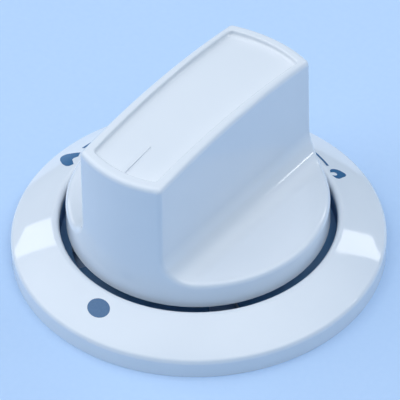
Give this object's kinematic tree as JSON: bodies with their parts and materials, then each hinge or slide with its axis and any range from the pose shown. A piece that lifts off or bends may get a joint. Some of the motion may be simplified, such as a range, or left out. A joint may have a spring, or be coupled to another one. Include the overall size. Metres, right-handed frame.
{
  "type": "oven control knob",
  "caption": "White control knob with a crowned grip blade that turns and pushes in against a spring inside a sloping dial ring, driving a flatted spindle.",
  "frame": {"origin": "centre of the dial ring's underside, on the face that lies against the panel", "axes": "+Z along the spindle away from the panel, -Y towards the pointer end of the blade and the off mark"},
  "size_m": [0.0694, 0.0694, 0.0359],
  "materials": {
    "white_plastic": "gloss moulded white",
    "spring_steel": "bright drawn",
    "bearing_plastic": "natural acetal",
    "mark_ink": "blue-grey print on the dial"
  },
  "bodies": {
    "ring": {"dial_ring": "white_plastic", "return_spring": "spring_steel"},
    "washer": {"thrust_washer": "bearing_plastic"},
    "knob": {"knob_body": "white_plastic", "shaft_clip": "spring_steel"}
  },
  "joints": [
    {"name": "knob_push", "type": "slide", "parent": "ring", "child": "washer", "axis": [0, 0, 1], "range_m": [-0.003, 0], "stiffness_N_per_m": 180, "springref_m": 0.012, "deforming": ["return_spring"]},
    {"name": "knob_turn", "type": "hinge", "parent": "washer", "child": "knob", "pos_m": [0, 0, 0], "axis": [0, 0, 1], "range_deg": [-206, 0]}
  ]
}
